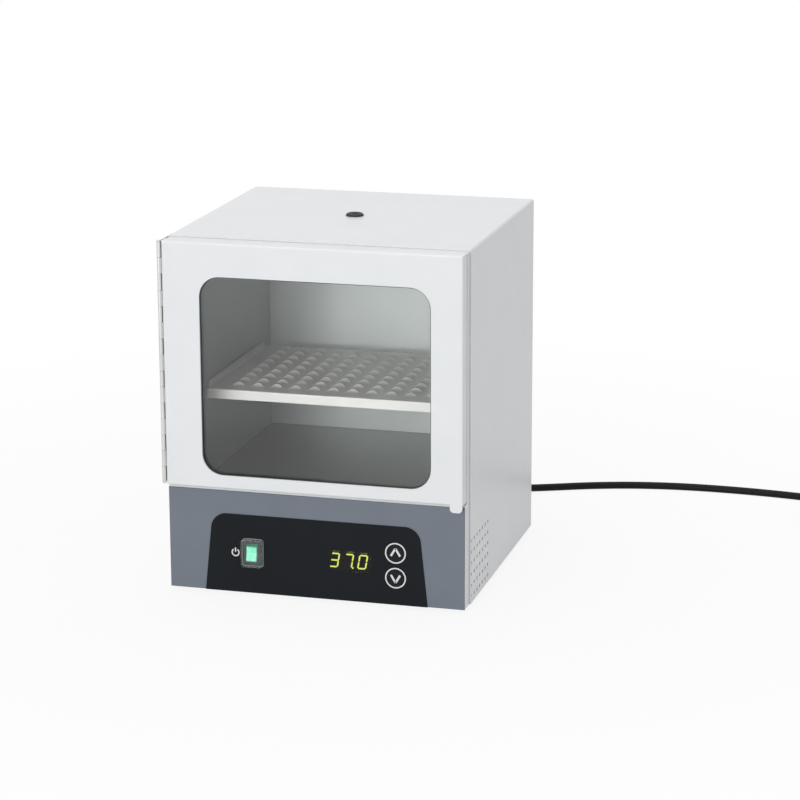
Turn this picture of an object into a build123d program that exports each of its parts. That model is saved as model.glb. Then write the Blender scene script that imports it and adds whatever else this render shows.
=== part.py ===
from build123d import *
import os
from math import pi, radians, sin, tan

# A mini incubator, in millimetres. While it is worked out, x runs from the cabinet's middle plane to the
# right, y from the door's front face to the rear, and z from the table up. Every part is then shifted so
# that the origin lies under the middle of the whole cabinet.

# Feet and cabinet shell
foot_height = 4.0
foot_radius = 7.5
foot_inset_side = 26.0
foot_inset_front = 32.0
foot_inset_rear = 30.0
cabinet_width = 262.2
cabinet_height = 304.3
cabinet_depth = 255.3
cover_sheet = 1.0
cover_bend = 2.4
cover_start = 22.0
rear_sheet = 1.2
rear_recess = 0.6
rear_flange = 11.0
pan_sheet = 1.2
pan_flange = 12.0
seat = 0.15
soft_gap = 0.3

# Vent holes through both sides of the cover
vent_radius = 1.7
vent_pitch = 9.75
vent_columns = 7
vent_rows = 6
vent_first_y = 25.4
vent_first_z = 6.3

# Door: a folded pan with a window, and the margins round that window
door_side_step = 1.4
door_bottom = 92.4
door_top_step = 0.8
door_thickness = 12.5
door_sheet = 1.2
door_edge_radius = 1.6
door_gap = 1.0
tab_width = 10.6
tab_drop = 6.2
tab_side_inset = 0.5
tab_radius = 3.4
window_left = 32.6
window_right = 27.2
window_bottom = 11.6
window_top = 28.3
window_radius = 18.0
trim_lip = 0.8
trim_reach = 7.0
trim_thickness = 1.3
pane_thickness = 3.0
pane_reach = 6.0
inner_frame_wall = 1.5
inner_frame_reveal = 4.0
seal_width = 5.0
seal_thickness = 0.7
seal_margin = 2.5

# Piano hinge on the door's left edge
barrel_radius = 1.75
hinge_offset = 2.1
pin_radius = 1.0
pin_clearance = 0.05
pin_head_radius = 1.6
pin_head = 0.8
hinge_y = 0.4
hinge_bottom_step = 2.2
hinge_top_step = 0.4
knuckle_count = 15
knuckle_gap = 0.3
leaf_sheet = 0.8
leaf_notch = 0.4
body_leaf_end = 37.0
leaf_screw_count = 4
leaf_screw_radius = 2.4
leaf_screw_head = 0.6

# Front frame and the magnetic catch in it
frame_sheet = 1.5
frame_return = 16.5
ledge_height = 90.5
sill_height = 99.0
opening_lip = 0.5
opening_radius = 6.0
catch_width = 7.0
catch_height = 46.0
catch_depth = 9.0
catch_level = 198.0
catch_inset = 5.0
strike_thickness = 0.8

# Chamber and the walls round it
side_wall = 22.1
rear_wall = 25.8
top_wall = 20.3
chamber_floor = 88.2
liner_sheet = 1.0
liner_flange = 6.0
floor_insulation = 18.0
heater_sheet = 1.0
heater_side_height = 60.0
heater_margin = 12.0
cutout_radius = 8.0
cutout_height = 9.0
cutout_clearance = 1.0
sensor_radius = 2.2
sensor_length = 32.0
sensor_level = 132.0

# Probe port through the top
port_x = -2.5
port_y = 142.0
port_bore_radius = 3.0
port_neck_radius = 5.4
port_hole_radius = 5.7
port_rim_radius = 7.8
port_rim_height = 2.3
port_lower_rim = 1.6
port_lower_radius = 7.0
tube_radius = 5.0
tube_wall = 1.0

# Shelf of louvred sheet on two rails
shelf_level = 166.5
shelf_front = 48.5
shelf_rear_gap = 16.0
shelf_sheet = 1.0
shelf_side_gap = 1.0
shelf_lip = 8.4
shelf_upstand = 6.0
shelf_rear_lip = 5.0
louvre_pitch = 17.0
louvre_radius = 6.2
louvre_tilt = 17.0
louvre_sheet = 0.8
louvre_root = 0.8
louvre_slit = 0.2
louvre_front_margin = 12.5
louvre_rear_margin = 8.0
louvre_side_margin = 19.0
rail_width = 10.0
rail_height = 9.8
rail_sheet = 1.2
rail_gap = 0.2

# Control panel with its black overlay, display, keys and switch
panel_height = 89.0
panel_front = 5.5
panel_sheet = 1.5
panel_side_step = 1.1
overlay_thickness = 0.6
overlay_half_bottom = 98.2
overlay_half_top = 91.0
overlay_height = 69.1
overlay_corner = 14.0
control_level = 34.7
display_to_key = 40.2
display_width = 37.6
display_height = 19.0
display_depth = 8.0
display_clearance = 0.3
lens_width = 36.4
lens_height = 17.4
lens_thickness = 1.2
key_edge_gap = 20.5
key_spacing = 21.9
key_radius = 9.3
key_clearance = 0.3
key_proud = 0.3
key_cap = 2.9
key_bevel = 0.25
key_flange_radius = 10.3
key_flange = 0.9
key_stem_radius = 2.5
key_travel = 0.5
key_rest_gap = 0.05
key_switch_size = 6.0
key_switch_height = 3.6
switch_edge_gap = 35.6
switch_level = 36.0
bezel_width = 15.0
bezel_height = 21.0
bezel_thickness = 1.8
switch_body_width = 12.8
switch_body_height = 19.0
switch_body_depth = 15.0
rocker_width = 9.8
rocker_half = 7.8
rocker_face = 3.0
rocker_throw = 7.0
rocker_pivot_depth = 3.2
rocker_back = 2.6
rocker_clearance = 0.35
rocker_pin_radius = 1.0
rocker_pin_length = 1.2
hood_width = 19.2
hood_height = 24.6
hood_depth = 5.3
hood_wall = 0.8
hood_radius = 3.0
terminal_width = 4.8
terminal_sheet = 0.8
terminal_length = 8.0

# Boards and parts in the lower compartment
board_sheet = 1.6
front_board_width = 82.0
front_board_height = 46.0
standoff_radius = 2.5
standoff_inset = 4.0
power_board_width = 120.0
power_board_depth = 74.0
power_board_x = -15.0
power_board_y = 92.0
power_board_rise = 8.0
transformer_size = (42.0, 34.0, 30.0)
relay_size = (16.0, 20.0, 16.0)
fuse_radius = 3.0
fuse_length = 22.0
terminal_count = 5
terminal_pitch = 9.0
terminal_block_depth = 16.0
terminal_block_height = 14.0
ribbon_width = 20.0
ribbon_thickness = 0.9

# Mains cord: bushing, cord, coil, tie and plug
cord_radius = 3.5
cord_exit_x = 60.5
cord_exit_level = 30.0
bushing_flange_radius = 8.5
bushing_flange = 2.5
bushing_root_radius = 6.5
bushing_tip_radius = 4.4
bushing_length = 28.0
coil_x = 423.0
coil_y = 350.0
coil_turn_radius = 42.0
coil_bundle = 9.6
tie_width = 10.0
tie_thickness = 0.7
tie_slack = 0.05
plug_length = 30.0
plug_width = 28.0
plug_thickness = 22.0
plug_neck_length = 22.0
plug_neck_radius = 5.4
blade_width = 6.3
blade_thickness = 1.5
blade_length = 17.5
blade_spacing = 12.7
earth_pin_radius = 2.4
earth_pin_length = 21.0
earth_pin_offset = 11.9

# Cylinders and cones stand on their start point
standing = (Align.CENTER, Align.CENTER, Align.MIN)

# Places worked out from the sizes above
base = foot_height
top = base + cabinet_height
half_width = cabinet_width / 2
half_inside = half_width - cover_sheet
frame_half = half_inside - seat
frame_face = door_thickness + door_gap
rear_face = cabinet_depth - rear_recess
rear_inner = rear_face - rear_sheet
door_half = half_width - door_side_step
door_low = base + door_bottom
door_high = top - door_top_step
window_x = (-door_half + window_left, door_half - window_right)
window_z = (door_low + window_bottom, door_high - window_top)
trim_back = door_sheet + trim_thickness
pane_back = trim_back + pane_thickness
hinge_x = -door_half - hinge_offset
hinge_low = door_low + hinge_bottom_step
hinge_high = door_high - hinge_top_step
knuckle_pitch = (hinge_high - hinge_low) / knuckle_count
leaf_start = hinge_y + barrel_radius + leaf_notch
chamber_half = half_width - side_wall
chamber_back = cabinet_depth - rear_wall
chamber_low = base + chamber_floor
chamber_high = top - top_wall
liner_front = frame_face + frame_sheet
opening_half = chamber_half - opening_lip
opening_z = (base + sill_height, chamber_high - opening_lip)
compartment_top = chamber_low - liner_sheet - heater_sheet - 2 * soft_gap - floor_insulation
overlay_front = panel_front - overlay_thickness
panel_back = panel_front + panel_sheet
control_z = base + control_level
key_x = overlay_half_top - key_edge_gap
display_x = key_x - display_to_key
switch_x = switch_edge_gap - overlay_half_top
display_front = overlay_front + lens_thickness + soft_gap
front_board_y = display_front + display_depth
key_z = (control_z - key_spacing / 2, control_z + key_spacing / 2)
switch_z = base + switch_level
bezel_front = overlay_front - bezel_thickness
rocker_y = bezel_front + rocker_pivot_depth
shelf_z = base + shelf_level
shelf_half = chamber_half - shelf_side_gap
shelf_back = chamber_back - shelf_rear_gap
rail_z = shelf_z - shelf_sheet - rail_gap
cord_exit_z = base + cord_exit_level
bushing_tip = cabinet_depth + bushing_length
coil_level = coil_bundle + tie_slack + tie_thickness + 0.05

# The cord's route from the bushing's tip to the coil, and from the coil to the plug
cord_route = [
    (cord_exit_x, bushing_tip, cord_exit_z),
    (60.5, 306.0, 34.0),
    (64.0, 329.0, 26.5),
    (75.5, 350.0, 13.5),
    (96.0, 366.5, 4.8),
    (124.0, 382.0, 3.6),
    (158.0, 397.0, 3.6),
    (198.0, 409.0, 3.6),
    (241.0, 415.5, 3.6),
    (286.0, 416.5, 3.6),
    (330.0, 413.5, 3.7),
    (370.0, 407.5, 3.9),
    (410.0, 398.5, 4.4),
]
tail_route = [
    (471.2, 334.0, 10.2),
    (471.4, 317.0, 10.5),
    (471.9, 301.0, 10.8),
    (472.8, 288.0, 11.0),
]


def block(x, y, z):
    """A box between its low and high coordinates."""
    size = Box(x[1] - x[0], y[1] - y[0], z[1] - z[0])
    return Pos((x[0] + x[1]) / 2, (y[0] + y[1]) / 2, (z[0] + z[1]) / 2) * size


def span(middle, length):
    """The low and high coordinate of a length about its middle."""
    return (middle - length / 2, middle + length / 2)


def wider(pair, by):
    """A low and high coordinate moved apart by the same amount at both ends."""
    return (pair[0] - by, pair[1] + by)


def rounded(x, y, z, radius, axis=Axis.Y):
    """A box whose edges along one axis are rounded."""
    shape = block(x, y, z)
    return fillet(shape.edges().filter_by(axis), radius)


def rod(x, y, z, radius, length, axis="z"):
    """A cylinder that starts at a point and runs along one axis."""
    turn = {"x": Rot(0, 90, 0), "y": Rot(-90, 0, 0), "z": Rot(0, 0, 0)}[axis]
    return Pos(x, y, z) * turn * Cylinder(radius, length, align=standing)


def base_pan():
    """Folded steel tray that closes the bottom, with cooling slots under the boards."""
    x = (-frame_half + frame_sheet + seat, frame_half - frame_sheet - seat)
    y = (panel_back + frame_sheet + seat, rear_face - rear_flange - seat)
    tray = block(x, y, (base, base + pan_flange))
    tray -= block(wider(x, -pan_sheet), wider(y, -pan_sheet), (base + pan_sheet, base + pan_flange + 1))
    slots = []
    for k in range(8):
        middle = power_board_x - 42 + 12 * k
        slots.append(rounded(span(middle, 4), span(power_board_y, 46), (base - 1, base + 2), 1.9, Axis.Z))
    return tray - slots


def foot(x, y):
    """Moulded rubber foot: tapered, with a well for its screw."""
    body = Pos(x, y, 0) * Cone(foot_radius - 1, foot_radius, foot_height, align=standing)
    return body - rod(x, y, -1, foot_radius / 2, foot_height - 0.5)


def foot_places():
    """Name, x and y of each foot."""
    places = []
    for end, y in (("front", foot_inset_front), ("rear", cabinet_depth - foot_inset_rear)):
        for side, x in (("left", -half_width + foot_inset_side), ("right", half_width - foot_inset_side)):
            places.append((f"foot_{end}_{side}", x, y))
    return places


def vent_centres():
    """y and z of each vent hole."""
    return [
        (vent_first_y + vent_pitch * column, base + vent_first_z + vent_pitch * row)
        for column in range(vent_columns)
        for row in range(vent_rows)
    ]


def outer_cover():
    """One sheet wrapped over both sides and the top, pierced for cooling and for the probe port."""
    outer = block((-half_width, half_width), (cover_start, cabinet_depth), (base, top))
    outer = fillet(outer.edges().filter_by(Axis.Y).group_by(Axis.Z)[-1], cover_bend)
    inside_y = (cover_start - 1, cabinet_depth + 1)
    inner = block((-half_inside, half_inside), inside_y, (base - 1, top - cover_sheet))
    inner = fillet(inner.edges().filter_by(Axis.Y).group_by(Axis.Z)[-1], cover_bend - cover_sheet)
    holes = [rod(-half_width - 1, y, z, vent_radius, cabinet_width + 2, "x") for y, z in vent_centres()]
    port = rod(port_x, port_y, top - 2 * cover_sheet, port_hole_radius, 3 * cover_sheet)
    return outer - inner - holes - port


def rear_panel():
    """Rear sheet with folded edges, a hole for the cord bushing and holes for its screws."""
    x = wider((-half_inside, half_inside), -seat)
    z = (base, top - cover_sheet - seat)
    panel = block(x, (rear_face - rear_flange, rear_face), z)
    panel = fillet(panel.edges().filter_by(Axis.Y).group_by(Axis.Z)[-1], cover_bend - cover_sheet)
    panel -= block(wider(x, -rear_sheet), (0, rear_inner), wider(z, -rear_sheet))
    return panel - rod(cord_exit_x, rear_inner - 1, cord_exit_z, bushing_root_radius, rear_sheet + 2, "y")


def rear_screws():
    """Pan-head screws that hold the rear sheet, lying on its outside."""
    shapes = []
    for x in (-half_width + 14, 0, half_width - 14):
        for z in (base + 9, top - 12):
            shapes.append(rod(x, rear_face, z, 2.8, rear_recess - 0.05, "y"))
    return Compound(shapes)


def front_frame():
    """Folded front: the face that the door closes on, its opening, and the box behind the control panel."""
    x = (-frame_half, frame_half)
    upper = block(x, (frame_face, frame_face + frame_return), (base, top - cover_sheet - seat))
    lower = block(x, (panel_back, frame_face + frame_sheet), (base, base + ledge_height))
    upper = fillet(upper.edges().filter_by(Axis.Y).group_by(Axis.Z)[-1], cover_bend - cover_sheet)
    inside = wider(x, -frame_sheet)
    behind = (liner_front, frame_face + frame_return + 1)
    upper -= block(inside, behind, (base - 1, top - cover_sheet - seat - frame_sheet))
    ledge_z = (base - 1, base + ledge_height - frame_sheet)
    hollow = block(inside, (panel_back + frame_sheet, liner_front + 1), ledge_z)
    shape = upper + lower - hollow
    shape -= rounded((-opening_half, opening_half), (0, liner_front + 1), opening_z, opening_radius)
    bay = rounded(wider(inside, -14), (0, liner_front), (base + 12, base + ledge_height - 8), opening_radius)
    catch_bay = block(catch_x(), (0, liner_front + 1), span(base + catch_level, catch_height))
    return shape - bay - catch_bay


def catch_x():
    """Left and right side of the magnetic catch."""
    right = frame_half - frame_sheet - catch_inset + opening_lip
    return (right - catch_width, right)


def magnet_catch():
    """Magnet block in the front frame, standing a little proud of its face."""
    x, z = catch_x(), span(base + catch_level, catch_height)
    y = (door_thickness + soft_gap, door_thickness + soft_gap + catch_depth)
    return block(wider(x, -seat), y, wider(z, -seat))


def chamber_liner():
    """Folded sheet chamber: five walls, a flange at the front, and a hole for the probe port."""
    x, y, z = (-chamber_half, chamber_half), (liner_front, chamber_back), (chamber_low, chamber_high)
    outer = block(wider(x, liner_sheet), (y[0], y[1] + liner_sheet), wider(z, liner_sheet))
    flange = block(wider(x, liner_flange), (y[0], y[0] + liner_sheet), wider(z, liner_flange))
    flange -= block((-half_width, half_width), (0, cabinet_depth), (0, compartment_top))
    inner = block(x, (y[0] - 1, y[1]), z)
    port = rod(port_x, port_y, chamber_high - 1, tube_radius - tube_wall, liner_sheet + 2)
    return outer + flange - inner - port


def heater_mat():
    """Flat heating mat folded round the floor and the lower sides of the chamber."""
    inside = chamber_half + liner_sheet
    low = chamber_low - liner_sheet
    y = (liner_front + heater_margin, chamber_back - heater_margin)
    outer = block(wider((-inside, inside), heater_sheet), y, (low - heater_sheet, low + heater_side_height))
    return outer - block((-inside, inside), wider(y, 1), (low, low + heater_side_height + 1))


def insulation():
    """The slabs between chamber and shell, by name."""
    inner_x = chamber_half + liner_sheet + heater_sheet + soft_gap
    side_x = (inner_x, half_inside - seat - rear_sheet - soft_gap)
    front = frame_face + frame_return + soft_gap
    back = rear_inner - soft_gap
    over = (chamber_high + liner_sheet + soft_gap, top - cover_sheet - seat - rear_sheet - soft_gap)
    wide = (-side_x[1], side_x[1])
    low, high = compartment_top, chamber_high + liner_sheet
    slab_top = block(wide, (front, back), over)
    slab_top -= rod(port_x, port_y, over[0] - 1, port_lower_radius + 1, top_wall)
    right = block(side_x, (front, back), (low, high))
    left = mirror(right, Plane.YZ)
    between = side_x[0] - soft_gap
    rear_y = (chamber_back + liner_sheet + soft_gap, back)
    rear = block((-between, between), rear_y, (low, high))
    sensor_y = chamber_back + liner_sheet
    pocket = block(span(0, 6 * sensor_radius), (sensor_y, sensor_y + 3 * sensor_radius), sensor_span(3.0))
    under_high = chamber_low - liner_sheet - heater_sheet - soft_gap
    under = block((-between, between), (front, rear_y[0] - soft_gap), (low, under_high))
    under -= rod(0, port_y, low - 1, cutout_radius + cutout_clearance, floor_insulation + 2)
    return {
        "insulation_top": slab_top,
        "insulation_left": left,
        "insulation_right": right,
        "insulation_rear": rear - pocket,
        "insulation_floor": under,
    }


def sensor_span(extra=0.0):
    """Low and high end of the temperature sensor, with room round it."""
    return wider(span(base + sensor_level, sensor_length), extra)


def temperature_sensor():
    """Steel probe strapped to the outside of the chamber's rear wall by a small clip."""
    low, high = sensor_span()
    y = chamber_back + liner_sheet + sensor_radius
    probe = rod(0, y, low, sensor_radius, high - low)
    foot_y = (chamber_back + liner_sheet, chamber_back + liner_sheet + 0.8)
    clip_z = span((low + high) / 2, 8)
    clip = block(span(0, 5.6 * sensor_radius), foot_y, clip_z)
    strap = block(span(0, 2.8 * sensor_radius), (foot_y[0], y + 1.3 * sensor_radius), clip_z)
    return probe + clip + strap


def thermal_cutout():
    """Disc thermostat pressed against the mat under the chamber, with its two blades."""
    high = chamber_low - liner_sheet - heater_sheet
    body = rod(0, port_y, high - cutout_height, cutout_radius - 2, cutout_height)
    cap = rod(0, port_y, high - 3, cutout_radius, 3)
    shape = body + cap
    for x in (-3.5, 3.5):
        shape += block(span(x, 0.8), span(port_y, 4.8), (high - cutout_height - 7, high - cutout_height + 1))
    return shape


def port_tube():
    """Tube that carries the probe port through the insulation."""
    low = chamber_high + liner_sheet
    length = top - cover_sheet - port_lower_rim - seat - low
    bore = rod(port_x, port_y, low - 1, tube_radius - tube_wall, length + 2)
    return rod(port_x, port_y, low, tube_radius, length) - bore


def port_grommet():
    """Rubber ring gripping the cover's sheet, with a rounded rim and a dished top round its bore."""
    under = top - cover_sheet
    profile = Polyline(
        (port_bore_radius, under - port_lower_rim),
        (port_lower_radius, under - port_lower_rim),
        (port_lower_radius, under - 0.05),
        (port_neck_radius, under - 0.05),
        (port_neck_radius, top + 0.05),
        (port_rim_radius, top + 0.05),
        (port_rim_radius, top + port_rim_height / 3),
    )
    crown = (port_rim_radius - 1.8, top + port_rim_height)
    shoulder = RadiusArc((port_rim_radius, top + port_rim_height / 3), crown, -2.4)
    dish = RadiusArc(crown, (port_bore_radius, top + port_rim_height / 2), 9.0)
    close = Line((port_bore_radius, top + port_rim_height / 2), (port_bore_radius, under - port_lower_rim))
    face = make_face(profile + shoulder + dish + close)
    return Pos(port_x, port_y, 0) * revolve(Plane.XZ * face, Axis.Z)


def shelf_rail(side):
    """Angle rail spot-welded to the chamber's side, for the shelf to slide on."""
    wall = side * chamber_half
    y = (shelf_front + shelf_sheet + 1.0, shelf_back - shelf_sheet - 1.0)
    upright = block(sorted((wall, wall - side * rail_sheet)), y, (rail_z - rail_height, rail_z))
    ledge = block(sorted((wall, wall - side * rail_width)), y, (rail_z - rail_sheet, rail_z))
    return upright + ledge


def louvre_places():
    """x and y of the straight root of every louvre in the shelf."""
    width = 2 * (shelf_half - louvre_side_margin)
    depth = shelf_back - shelf_front - louvre_front_margin - louvre_rear_margin - louvre_radius
    columns, rows = int(width // louvre_pitch) + 1, int(depth // louvre_pitch) + 1
    first_x = -louvre_pitch * (columns - 1) / 2
    return [
        (first_x + louvre_pitch * i, shelf_front + louvre_front_margin + louvre_pitch * j)
        for i in range(columns)
        for j in range(rows)
    ]


def half_disc(radius, thickness):
    """Half of a disc in the xy plane: its straight edge lies on the x axis, its arc on the far side."""
    arc = CenterArc((0, 0), radius, 0, 180)
    return extrude(make_face(arc + Line((-radius, 0), (radius, 0))), thickness)


def shelf():
    """Louvred sheet: half-moon tabs lanced up from it, a lip turned down in front, upstands at the sides."""
    x, y = (-shelf_half, shelf_half), (shelf_front, shelf_back)
    low = shelf_z - shelf_sheet
    sheet = block(x, y, (low, shelf_z))
    hole = half_disc(louvre_radius, 3 * shelf_sheet)
    tab = half_disc(louvre_radius - louvre_slit, louvre_sheet)
    tab = Rot(louvre_tilt, 0, 0) * Pos(0, -louvre_root, -louvre_sheet) * tab
    places = louvre_places()
    sheet -= [Pos(px, py, low - shelf_sheet) * hole for px, py in places]
    sheet += [Pos(px, py, shelf_z) * tab for px, py in places]
    sheet += block(x, (y[0], y[0] + shelf_sheet), (shelf_z - shelf_lip, shelf_z))
    inner = shelf_half - rail_width - shelf_side_gap
    sheet += block((-inner, inner), (y[1] - shelf_sheet, y[1]), (low - shelf_rear_lip, shelf_z))
    for side in (-1, 1):
        edge = sorted((side * shelf_half, side * (shelf_half - shelf_sheet)))
        sheet += block(edge, y, (low, shelf_z + shelf_upstand))
    return sheet


def overlay_outline():
    """Face of the overlay: wider at the foot, with two large rounded corners at the top."""
    low, high = base, base + overlay_height
    outline = Polyline(
        (-overlay_half_bottom, low),
        (overlay_half_bottom, low),
        (overlay_half_top, high),
        (-overlay_half_top, high),
        close=True,
    )
    face = make_face(outline)
    return fillet(face.vertices().group_by(Axis.Y)[-1], overlay_corner)


def panel_overlay():
    """Thin black sheet on the control panel, cut out for the switch, the display lens and the keys."""
    sheet = Pos(0, panel_front, 0) * extrude(Plane.XZ * overlay_outline(), overlay_thickness)
    return sheet - panel_cuts(lens_width + 2 * seat, lens_height + 2 * seat)


def panel_cuts(display_cut_width, display_cut_height):
    """What passes through the panel: display, two keys and the switch body."""
    y = (0, panel_back + 1)
    cuts = [rounded(span(display_x, display_cut_width), y, span(control_z, display_cut_height), 1.0)]
    switch_cut_z = span(switch_z, switch_body_height + 2 * seat)
    cuts.append(block(span(switch_x, switch_body_width + 2 * seat), y, switch_cut_z))
    for z in key_z:
        cuts.append(rod(key_x, 0, z, key_radius + key_clearance, panel_back + 1, "y"))
    return cuts


def control_panel():
    """Painted plate across the whole width under the door."""
    half = half_width - panel_side_step
    plate = block((-half, half), (panel_front, panel_back), (base, base + panel_height))
    plate = fillet(plate.edges().group_by(Axis.Y)[0], 0.5)
    return plate - panel_cuts(display_width + 2 * display_clearance, display_height + 2 * display_clearance)


def display_lens():
    """Smoked window over the display, flush with the overlay."""
    y = (overlay_front, overlay_front + lens_thickness)
    return rounded(span(display_x, lens_width), y, span(control_z, lens_height), 0.8)


def display_module():
    """Three-digit display block behind the lens."""
    y = (display_front, front_board_y)
    return block(span(display_x, display_width), y, span(control_z, display_height))


def front_board_x():
    """Left and right edge of the front board."""
    middle = (display_x - display_width / 2 + key_x + key_radius) / 2
    return span(middle, front_board_width)


def front_standoffs():
    """Hexagonal posts between the control panel and the front board."""
    posts = []
    hexagon = RegularPolygon(standoff_radius, 6)
    length = front_board_y - panel_back
    x, z = front_board_x(), span(control_z, front_board_height)
    for px in (x[0] + standoff_inset, x[1] - standoff_inset):
        for pz in (z[0] + standoff_inset, z[1] - standoff_inset):
            posts.append(Pos(px, panel_back, pz) * Rot(-90, 0, 0) * extrude(hexagon, length))
    return Compound(posts)


def control_board():
    """Front circuit board with its controller chip and its ribbon socket."""
    y = (front_board_y, front_board_y + board_sheet)
    board = block(front_board_x(), y, span(control_z, front_board_height))
    board += block(span(display_x, 12), (y[1], y[1] + 2), span(control_z + 4, 12))
    return board + block(span(ribbon_x(), ribbon_width + 4), (y[1], y[1] + 5), ribbon_socket_z())


def ribbon_x():
    """Middle of the ribbon cable across the cabinet."""
    return display_x - display_width / 2 + ribbon_width / 2 + 4


def ribbon_socket_z():
    """Low and high side of the ribbon's socket on the front board."""
    return span(control_z - front_board_height / 2 + 8, 6)


def key_switches():
    """Tactile switches on the front board, one behind each key."""
    shapes = []
    for z in key_z:
        y = (front_board_y - key_switch_height, front_board_y)
        body = block(span(key_x, key_switch_size), y, span(z, key_switch_size))
        shapes.append(body + rod(key_x, y[0] - 1.2, z, 1.7, 1.3, "y"))
    return Compound(shapes)


def key(z):
    """Key cap with a rim behind the panel and a stem that reaches its tactile switch."""
    front = overlay_front - key_proud
    cap = rod(key_x, front, z, key_radius, key_cap, "y")
    cap = chamfer(cap.edges().group_by(Axis.Y)[0], key_bevel)
    rim = rod(key_x, panel_back + key_rest_gap, z, key_flange_radius, key_flange, "y")
    stem_end = front_board_y - key_switch_height - 1.2 - key_travel - key_rest_gap
    stem_start = front + key_cap - 0.5
    return cap + rim + rod(key_x, stem_start, z, key_stem_radius, stem_end - stem_start, "y")


def rocker_tip():
    """How far the rocker's ends stand out from its pivot before it is tilted."""
    return rocker_face + rocker_half * tan(radians(rocker_throw))


def rocker():
    """Rocker of the mains switch: its face a shallow vee, a pin at each side, tilted to ON."""
    outline = Polyline(
        (-rocker_tip(), -rocker_half),
        (-rocker_face, 0),
        (-rocker_tip(), rocker_half),
        (rocker_back / 3, rocker_half - 0.4),
        (rocker_back, rocker_half / 3),
        (rocker_back, -rocker_half / 3),
        (rocker_back / 3, -rocker_half + 0.4),
        close=True,
    )
    bar = extrude(Plane.YZ * make_face(outline), rocker_width / 2, both=True)
    pin_end = rocker_width / 2 + rocker_pin_length
    bar += rod(-pin_end, 0, 0, rocker_pin_radius, 2 * pin_end, "x")
    return Pos(switch_x, rocker_y, switch_z) * Rot(-rocker_throw, 0, 0) * bar


def switch_body():
    """Snap-in switch housing: a bezel on the panel, a hollow for the rocker, and three tags behind."""
    body_back = overlay_front + switch_body_depth
    swing = sin(radians(rocker_throw))
    hollow_half = rocker_half + rocker_tip() * swing + rocker_clearance
    hollow_back = rocker_y + rocker_back + rocker_half * swing + rocker_clearance
    hollow_x = span(switch_x, rocker_width + 2 * rocker_clearance)
    body_x, body_z = span(switch_x, switch_body_width), span(switch_z, switch_body_height)
    bezel_y = (bezel_front, overlay_front)
    shape = rounded(span(switch_x, bezel_width), bezel_y, span(switch_z, bezel_height), 1.5)
    shape += block(body_x, (overlay_front, body_back), body_z)
    shape -= block(hollow_x, (bezel_front - 1, hollow_back), span(switch_z, 2 * hollow_half))
    pivot_start = switch_x - switch_body_width / 2
    shape -= rod(pivot_start, rocker_y, switch_z, rocker_pin_radius + pin_clearance, switch_body_width, "x")
    for step in (-1, 0, 1):
        tag_z = span(switch_z + 1.25 * terminal_width * step, terminal_width / 1.5)
        shape += block(span(switch_x, terminal_sheet), (body_back - 1, body_back + terminal_length), tag_z)
    return shape


def switch_hood():
    """Clear splash hood over the rocker: a soft shell with rounded corners and edges."""
    x, z = span(switch_x, hood_width), span(switch_z, hood_height)
    front = overlay_front - hood_depth
    hood = rounded(x, (front, overlay_front), z, hood_radius)
    hood = fillet(hood.edges().group_by(Axis.Y)[0], hood_radius / 2)
    inner_y = (front + hood_wall, overlay_front + 1)
    return hood - rounded(wider(x, -hood_wall), inner_y, wider(z, -hood_wall), hood_radius - hood_wall)


def door_shell():
    """Folded door pan with rounded front edges, the window opening and the finger tab at its lower corner."""
    x, y, z = (-door_half, door_half), (0, door_thickness), (door_low, door_high)
    outer = block(x, y, z)
    outer = fillet(outer.edges().group_by(Axis.Y)[0], door_edge_radius)
    inner = block(wider(x, -door_sheet), (door_sheet, door_thickness + 1), wider(z, -door_sheet))
    window = rounded(window_x, (-1, door_sheet + 1), window_z, window_radius)
    tab_x = (door_half - tab_side_inset - tab_width, door_half - tab_side_inset)
    tab = block(tab_x, (0, door_sheet), (door_low - tab_drop, door_low + door_edge_radius + 1))
    tab = fillet(tab.edges().filter_by(Axis.Y).group_by(Axis.Z)[0], tab_radius)
    return outer - inner - window + tab


def window_trim():
    """Black rubber ring behind the door's sheet; its lip shows as a thin line round the window."""
    y = (door_sheet, trim_back)
    outer = rounded(wider(window_x, trim_reach), y, wider(window_z, trim_reach), window_radius + trim_reach)
    inner_x, inner_z = wider(window_x, -trim_lip), wider(window_z, -trim_lip)
    return outer - rounded(inner_x, wider(y, 1), inner_z, window_radius - trim_lip)


def window_pane():
    """Clear sheet behind the rubber ring."""
    y = (trim_back, pane_back)
    return rounded(wider(window_x, pane_reach), y, wider(window_z, pane_reach), window_radius)


def door_inner_x():
    """Left and right side of the door's inner frame, between the folded edges."""
    return wider((-door_half, door_half), -door_sheet - seat)


def door_inner_z():
    """Low and high side of the door's inner frame."""
    return wider((door_low, door_high), -door_sheet - seat)


def door_frame():
    """Moulded inner frame: it clamps the pane, carries the seal and takes the catch's strike."""
    x, z = door_inner_x(), door_inner_z()
    y = (pane_back, door_thickness)
    hole_x, hole_z = wider(window_x, inner_frame_reveal), wider(window_z, inner_frame_reveal)
    ring = block(x, y, z)
    wall_x, wall_z = wider(hole_x, inner_frame_wall), wider(hole_z, inner_frame_wall)
    channel_y = (y[0] - 1, y[1] - inner_frame_wall)
    channel = block(wider(x, -inner_frame_wall), channel_y, wider(z, -inner_frame_wall))
    core = rounded(wall_x, (y[0] - 2, y[1]), wall_z, window_radius + inner_frame_reveal)
    ring -= channel - core
    ring -= rounded(hole_x, wider(y, 1), hole_z, window_radius)
    pocket_y = (door_thickness - strike_thickness, door_thickness + 1)
    return ring - block(catch_x(), pocket_y, span(base + catch_level, catch_height))


def door_strike():
    """Steel plate let into the inner frame, facing the magnet."""
    y = (door_thickness - strike_thickness, door_thickness)
    return block(wider(catch_x(), -seat), y, wider(span(base + catch_level, catch_height), -seat))


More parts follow.
